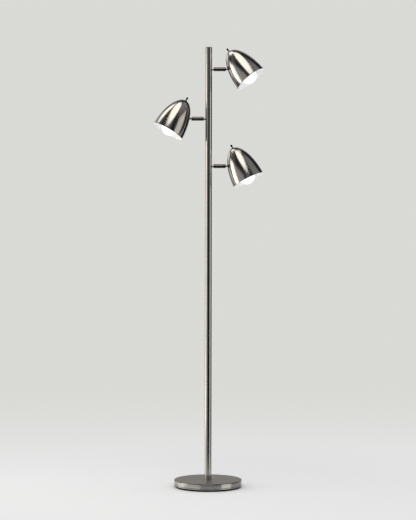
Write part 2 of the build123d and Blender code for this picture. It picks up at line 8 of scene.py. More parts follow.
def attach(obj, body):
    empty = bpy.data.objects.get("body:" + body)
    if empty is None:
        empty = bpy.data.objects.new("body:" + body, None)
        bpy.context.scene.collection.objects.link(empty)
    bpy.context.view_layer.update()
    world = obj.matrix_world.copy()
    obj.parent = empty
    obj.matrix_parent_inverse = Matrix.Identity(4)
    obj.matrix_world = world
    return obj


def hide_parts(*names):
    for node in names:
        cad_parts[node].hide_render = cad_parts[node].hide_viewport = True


# A tree floor lamp with three heads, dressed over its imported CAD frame. Metres. +Z is up, +X is
# the viewer's right and -Y points at the viewer. A head's own frame has its origin at the shade's
# tip, its mouth down and the pole towards -X.

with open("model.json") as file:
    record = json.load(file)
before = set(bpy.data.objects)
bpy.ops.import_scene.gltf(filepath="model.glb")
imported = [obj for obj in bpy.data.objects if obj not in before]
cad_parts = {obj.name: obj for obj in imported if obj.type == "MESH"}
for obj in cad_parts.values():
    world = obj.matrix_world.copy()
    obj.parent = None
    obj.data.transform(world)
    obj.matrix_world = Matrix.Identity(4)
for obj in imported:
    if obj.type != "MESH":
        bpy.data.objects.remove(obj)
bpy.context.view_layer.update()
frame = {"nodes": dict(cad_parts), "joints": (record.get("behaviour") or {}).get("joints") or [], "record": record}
record = frame["record"]

HEADS = ("upper", "middle", "lower")

# Camera
CAMERA_PLACE = (-0.0015, -5.342, 0.8517)
CAMERA_ROLL = -0.10
CAMERA_LENS = 98.44
SENSOR = 36.0

# Base
BASE_RADIUS = 0.127
BASE_TOP = 0.028
COVER_FOOT = 0.0065
COVER_WALL = 0.001
COVER_EDGE = 0.002
COVER_GROOVE = 0.0104
GROOVE_WIDTH = 0.0016
GROOVE_DEPTH = 0.0008
COVER_LIP = 0.012
COVER_TOP_RINGS = (0.66, 0.33)  # rings in the flat top, as parts of its radius
NIPPLE_HOLE = 0.0053
PAN_RADIUS = 0.121
PAN_WALL = 0.003
PAN_FLOOR = 0.002
PAN_EDGE = 0.0006
GLAND_HEIGHT = 0.01375
GLAND_SHANK_RADIUS = 0.005
GLAND_SHANK_LENGTH = 0.013
GLAND_FLANGE_RADIUS = 0.00675
GLAND_FLANGE = 0.002
GLAND_BORE = 0.0033
GLAND_CHAMFER = 0.0003
GLAND_EDGE = 0.0008

# Pole
POLE_RADIUS = 0.0127
POLE_WALL = 0.001
SECTION_LENGTH = 0.540
SECTION_CHAMFER = 0.0004
CAP_THICKNESS = 0.003
CAP_EDGE = 0.0006
CAP_CHAMFER = 0.0002
CAP_PLUG = 0.010
CAP_PLUG_CHAMFER = 0.0005
POST_HOLE = 0.00405

# Arm: its sleeve starts and ends at distances from the pole's axis
SLEEVE_START = 0.0183
SLEEVE_END = 0.0643
SLEEVE_RADIUS = 0.0075
SLEEVE_BORE = 0.0064
SLEEVE_WALL = 0.004
SLEEVE_CHAMFER = 0.0006
POST_RADIUS = 0.004

# Head: depths below the shade's tip, and heights above it for the bush, its nut and the knob
SHADE_LENGTH = 0.136
SHADE_RADIUS = 0.0622
SHADE_HALF_AXIS = 0.150
SHADE_WALL = 0.0008
SHADE_HOLE = 0.0036
PIVOT_DEPTH = 0.0575
PIVOT_OFFSET = 0.0395
SLOT_WIDTH = 0.0077
SLOT_REACH = 0.026
SLOT_LOW = -2.0
SLOT_HIGH = 52.0
BUSH_RADIUS = 0.0035
BUSH_TOP = 0.0046
BUSH_PITCH = 0.0008
BUSH_THREAD = 0.0002
BUSH_CHAMFER = 0.0003
NECK_RADIUS = 0.0022
NECK_FOOT = 0.0026
NUT_TOP = 0.0024
KNOB_START = 0.0049
KNOB_RADIUS = 0.0036
KNOB_LENGTH = 0.0084
KNOB_EDGE = 0.0008
KNOB_CHAMFER = 0.0003
KNOB_FLUTES = 12
KNOB_FLUTE_DEPTH = 0.00035
KNOB_SHAFT_RADIUS = 0.0015
KNOB_SHAFT_DEPTH = 0.013
HOLDER_TOP = 0.024
HOLDER_LENGTH = 0.043
HOLDER_RADIUS = 0.019
HOLDER_BORE = 0.01445
HOLDER_FLOOR = 0.014
HOLDER_EDGE = 0.0012
CUP_GROOVE_DEPTHS = (0.012, 0.030)
CUP_GROOVE = 0.0006
CUP_GROOVE_MOUTH = 0.003
CUP_GROOVE_FLOOR = 0.0016
SWITCH_RADII = (0.012, 0.017)
SWITCH_TOP = 0.0061
SWITCH_STEP = 0.016
SWITCH_CHAMFER = 0.003
SWITCH_BORE = 0.00155
SWITCH_BORE_DEPTH = 0.0135
BULB_TIP = 0.150
BULB_RADIUS = 0.030
BULB_NECK = 0.0123
BULB_NECK_TOP = 0.062
BULB_SHOULDER = 0.060
BULB_GLASS = 0.0009
CAP_RADIUS = 0.0131
CAP_WALL = 0.0005
CAP_END = 0.069
CAP_TOP = 0.044
CAP_TAPER = 0.003
CAP_CONTACT = 0.0045
CAP_CONTACT_DEPTH = 0.042
CAP_THREAD_START = 0.002
CAP_THREAD_PITCH = 0.0036
CAP_THREAD_DEPTH = 0.0008
CAP_THREAD_TURNS = 5
CAP_THREAD_POINTS = 6  # of the outline, in one turn of the thread

FIT = 0.00005  # the play between a bore and what is in it
MICRON = 0.000001
SHADE_RINGS = 60  # between the hole in the shade's tip and its rim
KNOB_FLUTE_STEPS = 4  # of the spin, in one flute
ROD_SIDES = 48


# ---- Shader sheets ----


class Value:
    """A socket on a sheet, on which arithmetic adds Math nodes."""

    def __init__(self, sheet, socket):
        self.sheet, self.socket = sheet, socket

    def __add__(self, other):
        return self.sheet.maths("ADD", self, other)

    def __sub__(self, other):
        return self.sheet.maths("SUBTRACT", self, other)

    def __rsub__(self, other):
        return self.sheet.maths("SUBTRACT", other, self)

    def __mul__(self, other):
        return self.sheet.maths("MULTIPLY", self, other)

    __radd__ = __add__


class Sheet:
    """The node tree of one finish, or of the room."""

    def __init__(self, tree):
        self.tree = tree
        tree.nodes.clear()

    def node(self, kind, settings, inputs, out=0):
        """Adds a node: its settings first, then values or links for its sockets."""
        made = self.tree.nodes.new(kind)
        for name, value in settings.items():
            setattr(made, name, value)
        for key, value in inputs.items():
            if isinstance(value, Value):
                self.tree.links.new(value.socket, made.inputs[key])
            else:
                made.inputs[key].default_value = value
        return Value(self, made.outputs[out]) if made.outputs else made

    def maths(self, operation, *inputs):
        return self.node("ShaderNodeMath", {"operation": operation}, dict(enumerate(inputs)))

    def place(self, turn=None, scale=(1, 1, 1)):
        """Object coordinates, turned into a piece's own frame and stretched."""
        point = self.node("ShaderNodeTexCoord", {}, {}, out="Object")
        if turn is not None:
            own = turn.inverted()
            settings = {"Location": own.to_translation(), "Rotation": own.to_euler()}
            point = self.node("ShaderNodeMapping", {}, {"Vector": point, **settings})
        if scale == (1, 1, 1):
            return point
        return self.node("ShaderNodeMapping", {}, {"Vector": point, "Scale": scale})

    def noise(self, point, scale, detail, rough=0.5):
        sockets = {"Vector": point, "Scale": scale, "Detail": detail, "Roughness": rough}
        return self.node("ShaderNodeTexNoise", {}, sockets)

    def fit(self, value, low, high, to_low=0.0, to_high=1.0):
        """Carries a value from one range to another, held at both ends."""
        sockets = {0: value, 1: low, 2: high, 3: to_low, 4: to_high}
        return self.node("ShaderNodeMapRange", {"interpolation_type": "SMOOTHSTEP"}, sockets)

    def blend(self, factor, first, second):
        """A colour between two."""
        sockets = {0: factor, 6: first, 7: second}
        return self.node("ShaderNodeMix", {"data_type": "RGBA"}, sockets, out=2)

    def bump(self, height, strength, distance, width=0.1):
        """Normals from a height; width is the part of a pixel over which the slope is read."""
        sockets = {"Height": height, "Strength": strength, "Distance": distance, "Filter Width": width}
        return self.node("ShaderNodeBump", {}, sockets)


def colour(*channels):
    """A colour in linear light, opaque."""
    return (*channels, 1.0)


def finish(name, paint):
    """A material: paint(sheet) gives the sockets of its shader."""
    material = bpy.data.materials.new(name)
    material.use_nodes = True
    sheet = Sheet(material.node_tree)
    shader = sheet.node("ShaderNodeBsdfPrincipled", {}, paint(sheet))
    sheet.node("ShaderNodeOutputMaterial", {}, {"Surface": shader})
    return material


# ---- Finishes ----

BULB_GLOW = 0.80
NICKEL_TONES = (colour(0.575, 0.555, 0.525), colour(0.660, 0.636, 0.603))
# Darker than NICKEL_TONES: painted shade on the base cover's flat top, which is the same nickel as its side
BASE_TOP_SHADED_TONES = (colour(0.370, 0.352, 0.333), colour(0.480, 0.456, 0.432))
ARM_TONES = (colour(0.165, 0.160, 0.156), colour(0.215, 0.208, 0.202))
PAN_TONES = (colour(0.003, 0.003, 0.005), colour(0.007, 0.007, 0.010))
NICKEL_ROUGHNESS = 0.16
BASE_TOP_ROUGHNESS = 0.52
CAP_ROUGHNESS = 0.24
# How deep the lines are, brushed or spun, and how many noise cells they have in a metre of X, Y, Z
BRUSHED = 0.00001
SPUN = 0.00004
LINES = {"around": (8, 8, 2600), "along": (2600, 2600, 25), "across": (30, 2600, 30)}


def nickel(name, turn=None, lines="around", roughness=NICKEL_ROUGHNESS, depth=BRUSHED, tones=NICKEL_TONES):
    """Satin nickel with fine lines: around Z as spun, along Z, or across the top of the base."""

    def paint(sheet):
        here = sheet.place(turn)
        grain = sheet.noise(sheet.place(turn, scale=LINES[lines]), scale=1.0, detail=0.0)
        patch = sheet.noise(here, scale=22.0, detail=3.0)
        fleck = sheet.fit(sheet.noise(here, scale=420.0, detail=1.0), 0.70, 0.80)
        rough = roughness + (grain - 0.5) * 0.05 + (patch - 0.5) * 0.05 + fleck * 0.03
        tone = sheet.fit(grain * 0.5 + patch * 0.5, 0.30, 0.70)
        return {
            "Base Color": sheet.blend(tone, *tones),
            "Metallic": 1.0,
            "Roughness": rough,
            "Normal": sheet.bump(grain, strength=1.0, distance=depth, width=0.01),
        }

    return finish(name, paint)


def white_enamel(name):
    """The baked white inside of the shades, with a faint orange peel."""

    def paint(sheet):
        here = sheet.place()
        peel = sheet.noise(here, scale=900.0, detail=2.0)
        patch = sheet.noise(here, scale=35.0, detail=3.0)
        return {
            "Base Color": sheet.blend(patch, colour(0.900, 0.900, 0.905), colour(0.930, 0.930, 0.935)),
            "Roughness": 0.38 + (patch - 0.5) * 0.12,
            "Normal": sheet.bump(peel, strength=0.3, distance=0.00002),
        }

    return finish(name, paint)


def moulded(name, dark, light, roughness, grain_scale=1500.0, strength=0.15, gloss=0.5):
    """Moulded plastic: a fine grain, with its colour and gloss slightly uneven."""

    def paint(sheet):
        here = sheet.place()
        grain = sheet.noise(here, scale=grain_scale, detail=2.0)
        patch = sheet.noise(here, scale=60.0, detail=3.0)
        return {
            "Base Color": sheet.blend(patch, dark, light),
            "Specular IOR Level": gloss,
            "Roughness": roughness + (patch - 0.5) * 0.12 + (grain - 0.5) * 0.06,
            "Normal": sheet.bump(grain, strength=strength, distance=0.00005),
        }

    return finish(name, paint)


def frosted_glass(name):
    """The inside-frosted bulb, faintly mottled and softly lit from within."""

    def paint(sheet):
        here = sheet.place()
        cloud = sheet.noise(here, scale=90.0, detail=4.0)
        grain = sheet.noise(here, scale=2500.0, detail=1.0)
        shade = sheet.blend(cloud, colour(0.90, 0.90, 0.895), colour(0.95, 0.95, 0.95))
        return {
            "Base Color": shade,
            "Roughness": 0.26 + (cloud - 0.5) * 0.10,
            "Normal": sheet.bump(grain, strength=0.04, distance=0.00004),
            "Emission Color": shade,
            "Emission Strength": BULB_GLOW,
        }

    return finish(name, paint)


def plated(name, dull, bright, roughness):
    """Plated or turned steel or brass that is seldom seen."""

    def paint(sheet):
        here = sheet.place()
        grain = sheet.noise(here, scale=1200.0, detail=3.0)
        patch = sheet.noise(here, scale=120.0, detail=3.0)
        return {
            "Base Color": sheet.blend(patch, dull, bright),
            "Metallic": 1.0,
            "Roughness": roughness + (patch - 0.5) * 0.16,
            "Normal": sheet.bump(grain, strength=0.10, distance=0.00005),
        }

    return finish(name, paint)


def cast_iron(name):
    """The rough grey casting inside the base."""

    def paint(sheet):
        here = sheet.place()
        sand = sheet.noise(here, scale=500.0, detail=4.0, rough=0.6)
        patch = sheet.noise(here, scale=40.0, detail=3.0)
        return {
            "Base Color": sheet.blend(patch, colour(0.055, 0.055, 0.058), colour(0.12, 0.118, 0.115)),
            "Metallic": 0.6,
            "Roughness": 0.62 + (sand - 0.5) * 0.3,
            "Normal": sheet.bump(sand, strength=0.5, distance=0.0004),
        }

    return finish(name, paint)


def felt(name):
    """The dark pad under the base."""

    def paint(sheet):
        here = sheet.place()
        fibre = sheet.noise(here, scale=1800.0, detail=4.0, rough=0.7)
        return {
            "Base Color": sheet.blend(fibre, colour(0.010, 0.010, 0.011), colour(0.035, 0.035, 0.037)),
            "Roughness": 0.94,
            "Normal": sheet.bump(fibre, strength=0.6, distance=0.0003),
        }

    return finish(name, paint)


# ---- Turning and shaping ----


def clear():
    """Nothing selected, so that an operator acts on the new piece alone."""
    bpy.ops.object.select_all(action="DESELECT")


def only(piece):
    """One piece selected, and active."""
    clear()
    piece.select_set(True)
    bpy.context.view_layer.objects.active = piece


def turned(name, outline, steps):
    """A lathe job: a closed outline of radius and height, spun about Z."""
    clear()
    bpy.ops.mesh.primitive_plane_add(size=0.001)
    piece = bpy.context.object
    piece.name = name
    bpy.ops.object.mode_set(mode="EDIT")
    bpy.ops.mesh.select_all(action="SELECT")
    bpy.ops.mesh.merge(type="CENTER")
    here = Vector((0, 0, 0))
    first = Vector((outline[0][0], 0, outline[0][1]))
    bpy.ops.transform.translate(value=first - here)
    here = first
    for radius, height in (*outline[1:], outline[0]):
        there = Vector((radius, 0, height))
        bpy.ops.mesh.extrude_region_move(TRANSFORM_OT_translate={"value": there - here})
        here = there
    bpy.ops.mesh.select_all(action="SELECT")
    bpy.ops.mesh.spin(steps=steps, angle=2 * pi, center=(0, 0, 0), axis=(0, 0, 1))
    bpy.ops.mesh.select_all(action="SELECT")
    bpy.ops.mesh.remove_doubles(threshold=MICRON)
    bpy.ops.mesh.dissolve_degenerate(threshold=MICRON)
    bpy.ops.mesh.normals_make_consistent(inside=False)
    bpy.ops.object.mode_set(mode="OBJECT")
    return piece


def rounded(centre, radius, start, end, count=6):
    """Points on an arc of an outline, from one angle to another, in degrees."""
    r, z = centre
    angles = [radians(start + (end - start) * i / count) for i in range(count + 1)]
    return [(r + radius * cos(a), z + radius * sin(a)) for a in angles]


def soften(piece, angle=32):
    """Smooth shading, but for edges that turn by more than an angle in degrees."""
    only(piece)
    bpy.ops.object.shade_smooth_by_angle(angle=radians(angle))


def cut(piece, cutter):
    """Takes one closed piece away from another."""
    tool = piece.modifiers.new("cut", "BOOLEAN")
    tool.operation, tool.solver, tool.object = "DIFFERENCE", "EXACT", cutter
    only(piece)
    bpy.ops.object.modifier_apply(modifier=tool.name)
    bpy.data.objects.remove(cutter)


def rod(radius, start, end, along):
    """A plain round cutter from one point to another."""
    start, end = Vector(start), Vector(end)
    clear()
    bpy.ops.mesh.primitive_cylinder_add(vertices=ROD_SIDES, radius=radius, depth=(end - start).length)
    tool = bpy.context.object
    turn = Vector(along).to_track_quat("Z", "Y").to_matrix().to_4x4()
    tool.matrix_world = Matrix.Translation((start + end) / 2) @ turn
    fix_place(tool)
    return tool


def fix_place(piece):
    """Leaves the object at the origin, unturned and unscaled, with its place in its mesh."""
    only(piece)
    bpy.ops.object.transform_apply(location=True, rotation=True, scale=True)


def paint_faces(piece, materials, chooser):
    """Gives each face one of the materials."""
    piece.data.materials.clear()
    for material in materials:
        piece.data.materials.append(material)
    for face in piece.data.polygons:
        face.material_index = chooser(face)


def settle(piece, body, slot, nodes, material=None):
    """The last step of a new piece: its finish, its body and the CAD nodes it stands for."""
    if material is not None:
        paint_faces(piece, [material], lambda face: 0)
    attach(piece, body)
    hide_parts(*nodes)


def copy_of(pattern, name, matrix):
    """A copy with its own mesh, set in place."""
    piece = bpy.data.objects.new(name, pattern.data.copy())
    bpy.context.scene.collection.objects.link(piece)
    piece.matrix_world = matrix
    bpy.context.view_layer.update()
    fix_place(piece)
    return piece


# ---- Frames of the arms and heads, from the joints ----


def joint(name):
    """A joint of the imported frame."""
    return next(j for j in frame["joints"] if j["name"] == name)


def frame_of(origin, x, y, z):
    """The matrix that carries a frame's own coordinates into the lamp's."""
    matrix = Matrix((x, y, z)).transposed().to_4x4()
    matrix.translation = origin
    return matrix


def head_frame(head):
    """The head's own frame: origin at the shade's tip, +Z out of it, the pole towards -X."""
    turn, tilt = joint(f"knob_{head}_turn"), joint(f"head_{head}_tilt")
    z = Vector(turn["axis"]).normalized()
    y = -Vector(tilt["axis"]).normalized()
    return frame_of(Vector(turn["pos_m"]) - z * BUSH_TOP, y.cross(z), y, z)


def arm_frame(head):
    """The arm's own frame: origin on the pole's axis, +Z out along the arm."""
    swivel = joint(f"arm_{head}_swivel")
    z = Vector(swivel["axis"]).normalized()
    y = Vector((0, 0, 1))
    return frame_of(Vector(swivel["pos_m"]), y.cross(z), y, z)


# ---- Base ----


def base_cover():
    """The spun cover: a rounded top edge, a rolled groove in its side and a lip turned in below."""
    edge = rounded((BASE_RADIUS - COVER_EDGE, BASE_TOP - COVER_EDGE), COVER_EDGE, 0, 90)
    foot = rounded((BASE_RADIUS - COVER_WALL / 2, COVER_FOOT + COVER_WALL / 2), COVER_WALL / 2, -90, 0, 3)
    inner = BASE_RADIUS - COVER_WALL
    low, high = COVER_GROOVE - GROOVE_WIDTH / 2, COVER_GROOVE + GROOVE_WIDTH / 2
    outline = [
        (BASE_RADIUS - COVER_LIP, COVER_FOOT),
        *foot,
        (BASE_RADIUS, low - GROOVE_DEPTH / 3),
        (BASE_RADIUS - GROOVE_DEPTH, low),
        (BASE_RADIUS - GROOVE_DEPTH, high),
        (BASE_RADIUS, high + GROOVE_DEPTH / 3),
        *edge,
        *((BASE_RADIUS * part, BASE_TOP) for part in COVER_TOP_RINGS),
        (NIPPLE_HOLE, BASE_TOP),
        (NIPPLE_HOLE, BASE_TOP - COVER_WALL),
        (inner - COVER_WALL, BASE_TOP - COVER_WALL),
        (inner, BASE_TOP - 2 * COVER_WALL),
        (inner, high),
        (inner - GROOVE_DEPTH, high),
        (inner - GROOVE_DEPTH, low),
        (inner, low),
        (inner, COVER_FOOT + COVER_WALL),
        (BASE_RADIUS - COVER_LIP, COVER_FOOT + COVER_WALL),
    ]
    piece = turned("base_cover_spun", outline, steps=160)
    start = (0, BASE_RADIUS - 2 * COVER_LIP, GLAND_HEIGHT)
    cut(piece, rod(GLAND_SHANK_RADIUS, start, (0, 2 * BASE_RADIUS, GLAND_HEIGHT), (0, 1, 0)))
    soften(piece)
    settle(piece, "stand", "brushed_nickel", ["base_cover"])
    # The flat top gets the darker tones: painted shade
    top = nickel("nickel_base_top", lines="across", roughness=BASE_TOP_ROUGHNESS, tones=BASE_TOP_SHADED_TONES)
    side = nickel("nickel_base_side", lines="around", depth=SPUN)

    def chooser(face):
        """The flat top, darker as painted shade, then the rim and groove in dark nickel as painted shade, then the
        side.
        """
        if face.normal.z > 0.99:
            return 1
        # The rim and the groove take the dark nickel: painted shade along the edge and in the recess
        rim = face.center.z > BASE_TOP - COVER_EDGE
        groove = abs(face.center.z - COVER_GROOVE) < GROOVE_WIDTH * 0.6
        return 2 if rim or groove else 0

    paint_faces(piece, [side, top, dark_nickel_and_rim_shade], chooser)


def base_pan():
    """The shallow black pan, with the pad under it."""
    low, high = PAN_EDGE, COVER_FOOT
    outline = [
        *rounded((PAN_RADIUS - PAN_EDGE, low), PAN_EDGE, -90, 0, 4),
        (PAN_RADIUS, high),
        (PAN_RADIUS - PAN_WALL, high),
        (PAN_RADIUS - PAN_WALL, PAN_FLOOR),
        (0, PAN_FLOOR),
        (0, 0),
        (PAN_RADIUS - 2 * PAN_WALL, 0),
    ]
    piece = turned("base_pan_moulded", outline, steps=160)
    soften(piece)
    settle(piece, "stand", "black_plastic", ["base_pan"])
    shell = moulded("black_pan", *PAN_TONES, roughness=0.60, gloss=0.05)
    pad = felt("black_felt")
    reach = PAN_RADIUS - PAN_WALL

    def chooser(face):
        """The pad covers what faces down, inside the pan's wall."""
        return int(face.normal.z < -0.9 and face.center.xy.length < reach)

    paint_faces(piece, [shell, pad], chooser)


def cord_gland():
    """The gland in the back of the cover, turned about Z and laid along +Y."""
    face = BASE_RADIUS
    inner = face - GLAND_SHANK_LENGTH
    outer = face + GLAND_FLANGE
    outline = [
        (GLAND_BORE, inner),
        (GLAND_SHANK_RADIUS - GLAND_CHAMFER, inner),
        (GLAND_SHANK_RADIUS, inner + GLAND_CHAMFER),
        (GLAND_SHANK_RADIUS, face),
        (GLAND_FLANGE_RADIUS, face),
        *rounded((GLAND_FLANGE_RADIUS - GLAND_EDGE, outer - GLAND_EDGE), GLAND_EDGE, 0, 90, 4),
        *rounded((GLAND_BORE + GLAND_EDGE, outer - GLAND_EDGE), GLAND_EDGE, 90, 180, 4),
    ]
    piece = turned("cord_gland_moulded", outline, steps=64)
    piece.matrix_world = Matrix.Translation((0, 0, GLAND_HEIGHT)) @ Matrix.Rotation(radians(-90), 4, "X")
    fix_place(piece)
    soften(piece)
    settle(piece, "stand", "black_plastic", ["cord_gland"], black_plastic)


# ---- Pole ----


def pole_sections():
    """Three equal lengths of tube, the upper one bored for the arms' posts."""
    for number, name in enumerate(("lower", "middle", "upper")):
        start = BASE_TOP + number * SECTION_LENGTH
        end = start + SECTION_LENGTH
        inner = POLE_RADIUS - POLE_WALL
        outline = [
            (inner, start),
            (POLE_RADIUS - SECTION_CHAMFER, start),
            (POLE_RADIUS, start + SECTION_CHAMFER),
            (POLE_RADIUS, end - SECTION_CHAMFER),
            (POLE_RADIUS - SECTION_CHAMFER, end),
            (inner, end),
        ]
        piece = turned(f"pole_{name}_tube", outline, steps=128)
        if name == "upper":
            for head in HEADS:
                arm = arm_frame(head)
                out = arm.to_3x3() @ Vector((0, 0, 1))
                cut(piece, rod(POST_HOLE, arm.translation, arm.translation + out * 2 * POLE_RADIUS, out))
        soften(piece)
        settle(piece, "stand", "brushed_nickel", [f"pole_{name}"], nickel_tube)


def pole_cap():
    """The flat cap with its plug."""
    level = BASE_TOP + 3 * SECTION_LENGTH
    plug = POLE_RADIUS - POLE_WALL - FIT
    top = level + CAP_THICKNESS
    outline = [
        (0, level - CAP_PLUG),
        (plug - CAP_PLUG_CHAMFER, level - CAP_PLUG),
        (plug, level - CAP_PLUG + CAP_PLUG_CHAMFER),
        (plug, level),
        (POLE_RADIUS - CAP_CHAMFER, level),
        (POLE_RADIUS, level + CAP_CHAMFER),
        *rounded((POLE_RADIUS - CAP_EDGE, top - CAP_EDGE), CAP_EDGE, 0, 90, 5),
        (POLE_RADIUS / 2, top),
        (0, top),
    ]
    piece = turned("pole_cap_turned", outline, steps=128)
    soften(piece)
    settle(piece, "stand", "brushed_nickel", ["pole_cap"], nickel("nickel_cap", roughness=CAP_ROUGHNESS))


# ---- Arms ----


def arms():
    """The three sleeves, each turning on its post."""
    bore = POST_RADIUS + FIT
    wall_end = SLEEVE_START + SLEEVE_WALL
    chamfer = SLEEVE_CHAMFER
    sleeve_outline = [
        (bore, SLEEVE_START),
        (SLEEVE_RADIUS - chamfer, SLEEVE_START),
        *rounded((SLEEVE_RADIUS - chamfer, SLEEVE_START + chamfer), chamfer, -90, 0, 4)[1:],
        *rounded((SLEEVE_RADIUS - chamfer, SLEEVE_END - chamfer), chamfer, 0, 90, 4),
        (SLEEVE_BORE, SLEEVE_END),
        (SLEEVE_BORE, wall_end),
        (bore, wall_end),
    ]
    sleeve = turned("sleeve_pattern", sleeve_outline, steps=72)
    soften(sleeve)
    for head in HEADS:
        matrix = arm_frame(head)
        piece = copy_of(sleeve, f"sleeve_{head}_turned", matrix)
        finish_here = nickel(f"nickel_sleeve_{head}", matrix, "along", tones=ARM_TONES)
        settle(piece, f"arm_{head}", "brushed_nickel", [f"sleeve_{head}"], finish_here)
    bpy.data.objects.remove(sleeve)


# ---- Heads ----


def shade_outline():
    """Down the outside, round the rim and up the inside."""
    rim = SHADE_WALL / 2

    def ellipse(inset):
        """One side of the wall, from the hole in the tip to the rim."""
        half, radius = SHADE_HALF_AXIS - inset, SHADE_RADIUS - inset
        first = asin(SHADE_HOLE / radius)
        last = acos((SHADE_HALF_AXIS - SHADE_LENGTH + rim) / half)
        angles = [first + (last - first) * i / SHADE_RINGS for i in range(SHADE_RINGS + 1)]
        return [(radius * sin(a), half * cos(a) - SHADE_HALF_AXIS) for a in angles]

    outside, inside = ellipse(0), ellipse(SHADE_WALL)
    centre = ((outside[-1][0] + inside[-1][0]) / 2, outside[-1][1])
    edge = rounded(centre, (outside[-1][0] - inside[-1][0]) / 2, 0, -180, 8)
    return [*outside, *edge[1:-1], *reversed(inside)]


def shade_pattern():
    """The spun shade, with the slot in which its stem swings cut through the side."""
    piece = turned("shade_pattern", shade_outline(), steps=128)
    pivot = Vector((-PIVOT_OFFSET, 0, -PIVOT_DEPTH))

    def outward(angle):
        """From the pivot towards the pole, raised by an angle in degrees."""
        return Vector((-cos(radians(angle)), 0, sin(radians(angle))))

    # A block about the pivot is cut down to the wedge in which the stem swings
    clear()
    bpy.ops.mesh.primitive_cube_add(size=1, location=pivot)
    wedge = bpy.context.object
    wedge.scale = (2 * SLOT_REACH, SLOT_WIDTH, 2 * SLOT_REACH)
    fix_place(wedge)
    bpy.ops.object.mode_set(mode="EDIT")
    for angle, side in ((SLOT_LOW, 1), (SLOT_HIGH, -1)):
        across = Vector((sin(radians(angle)), 0, cos(radians(angle)))) * side
        bpy.ops.mesh.select_all(action="SELECT")
        bpy.ops.mesh.bisect(plane_co=pivot, plane_no=across, use_fill=True, clear_inner=True)
    bpy.ops.mesh.select_all(action="SELECT")
    bpy.ops.mesh.normals_make_consistent(inside=False)
    bpy.ops.object.mode_set(mode="OBJECT")
    cut(piece, wedge)
    # Round ends for the slot
    for angle in (SLOT_LOW, SLOT_HIGH):
        out = outward(angle)
        cut(piece, rod(SLOT_WIDTH / 2, pivot, pivot + out * SLOT_REACH, out))
    soften(piece, angle=30)
    return piece


def knob_pattern():
    """The fluted knob: a turned grip, its flutes pressed in along their lines."""
    start, end = KNOB_START, KNOB_START + KNOB_LENGTH
    outline = [
        (0, -KNOB_SHAFT_DEPTH),
        (KNOB_SHAFT_RADIUS, -KNOB_SHAFT_DEPTH),
        (KNOB_SHAFT_RADIUS, start),
        (KNOB_RADIUS - KNOB_CHAMFER, start),
        (KNOB_RADIUS, start + KNOB_CHAMFER),
        (KNOB_RADIUS, end - KNOB_EDGE),
        *rounded((KNOB_RADIUS - KNOB_EDGE, end - KNOB_EDGE), KNOB_EDGE, 0, 90, 4)[1:],
        (0, end),
    ]
    piece = turned("knob_pattern", outline, steps=KNOB_FLUTES * KNOB_FLUTE_STEPS)

    def in_flute(place):
        """Whether a vertex is on the grip, on one of the lines that go in."""
        turn = place.xy.angle_signed(Vector((1, 0)), 0) * KNOB_FLUTES / (2 * pi)
        on_grip = place.z >= start and place.xy.length > KNOB_RADIUS - KNOB_EDGE + MICRON
        return on_grip and abs(turn - round(turn)) * KNOB_FLUTE_STEPS < 0.5

    bpy.ops.object.mode_set(mode="EDIT")
    bpy.ops.mesh.select_mode(type="VERT")
    bpy.ops.mesh.select_all(action="DESELECT")
    bpy.ops.object.mode_set(mode="OBJECT")
    for vertex in piece.data.vertices:
        vertex.select = in_flute(vertex.co)
    bpy.ops.object.mode_set(mode="EDIT")
    waist = 1 - KNOB_FLUTE_DEPTH / KNOB_RADIUS
    bpy.ops.transform.resize(value=(waist, waist, 1), center_override=(0, 0, 0))
    bpy.ops.object.mode_set(mode="OBJECT")
    soften(piece, angle=30)
    return piece


def switch_pattern():
    """The switch body with its threaded bush, turned down to a neck under the knob."""
    small, large = SWITCH_RADII
    threads = [(BUSH_RADIUS - BUSH_CHAMFER, NUT_TOP)]
    level = NUT_TOP - BUSH_CHAMFER
    while level > 0.0:
        threads += [(BUSH_RADIUS, level), (BUSH_RADIUS - BUSH_THREAD, level - BUSH_PITCH / 2)]
        level -= BUSH_PITCH
    outline = [
        (SWITCH_BORE, BUSH_TOP),
        (NECK_RADIUS, BUSH_TOP),
        (NECK_RADIUS, NECK_FOOT),
        *threads,
        (BUSH_RADIUS, -SWITCH_TOP),
        (small - SWITCH_CHAMFER, -SWITCH_TOP),
        (small, -SWITCH_TOP - SWITCH_CHAMFER),
        (small, -SWITCH_STEP),
        (large, -SWITCH_STEP),
        (large, -HOLDER_TOP),
        (0, -HOLDER_TOP),
        (0, -SWITCH_BORE_DEPTH),
        (SWITCH_BORE, -SWITCH_BORE_DEPTH),
    ]
    piece = turned("switch_pattern", outline, steps=72)
    soften(piece)
    paint_faces(piece, [black_plastic, zinc], lambda face: int(face.center.z > -SWITCH_TOP + MICRON))
    return piece


def holder_pattern():
    """The glazed cup, with two grooves round it and a rounded mouth."""
    top, bottom = -HOLDER_TOP, -HOLDER_TOP - HOLDER_LENGTH
    edge = HOLDER_EDGE
    grooves = []
    for depth in CUP_GROOVE_DEPTHS:
        level = top - depth
        grooves += [
            (HOLDER_RADIUS, level + CUP_GROOVE_MOUTH / 2),
            (HOLDER_RADIUS - CUP_GROOVE, level + CUP_GROOVE_FLOOR / 2),
            (HOLDER_RADIUS - CUP_GROOVE, level - CUP_GROOVE_FLOOR / 2),
            (HOLDER_RADIUS, level - CUP_GROOVE_MOUTH / 2),
        ]
    outline = [
        (0, top),
        *rounded((HOLDER_RADIUS - edge, top - edge), edge, 90, 0, 5),
        *grooves,
        *rounded((HOLDER_RADIUS - edge, bottom + edge), edge, 0, -90, 5),
        *rounded((HOLDER_BORE + edge, bottom + edge), edge, -90, -180, 5),
        (HOLDER_BORE, top - HOLDER_FLOOR),
        (0, top - HOLDER_FLOOR),
    ]
    piece = turned("holder_pattern", outline, steps=96)
    soften(piece)
    return piece


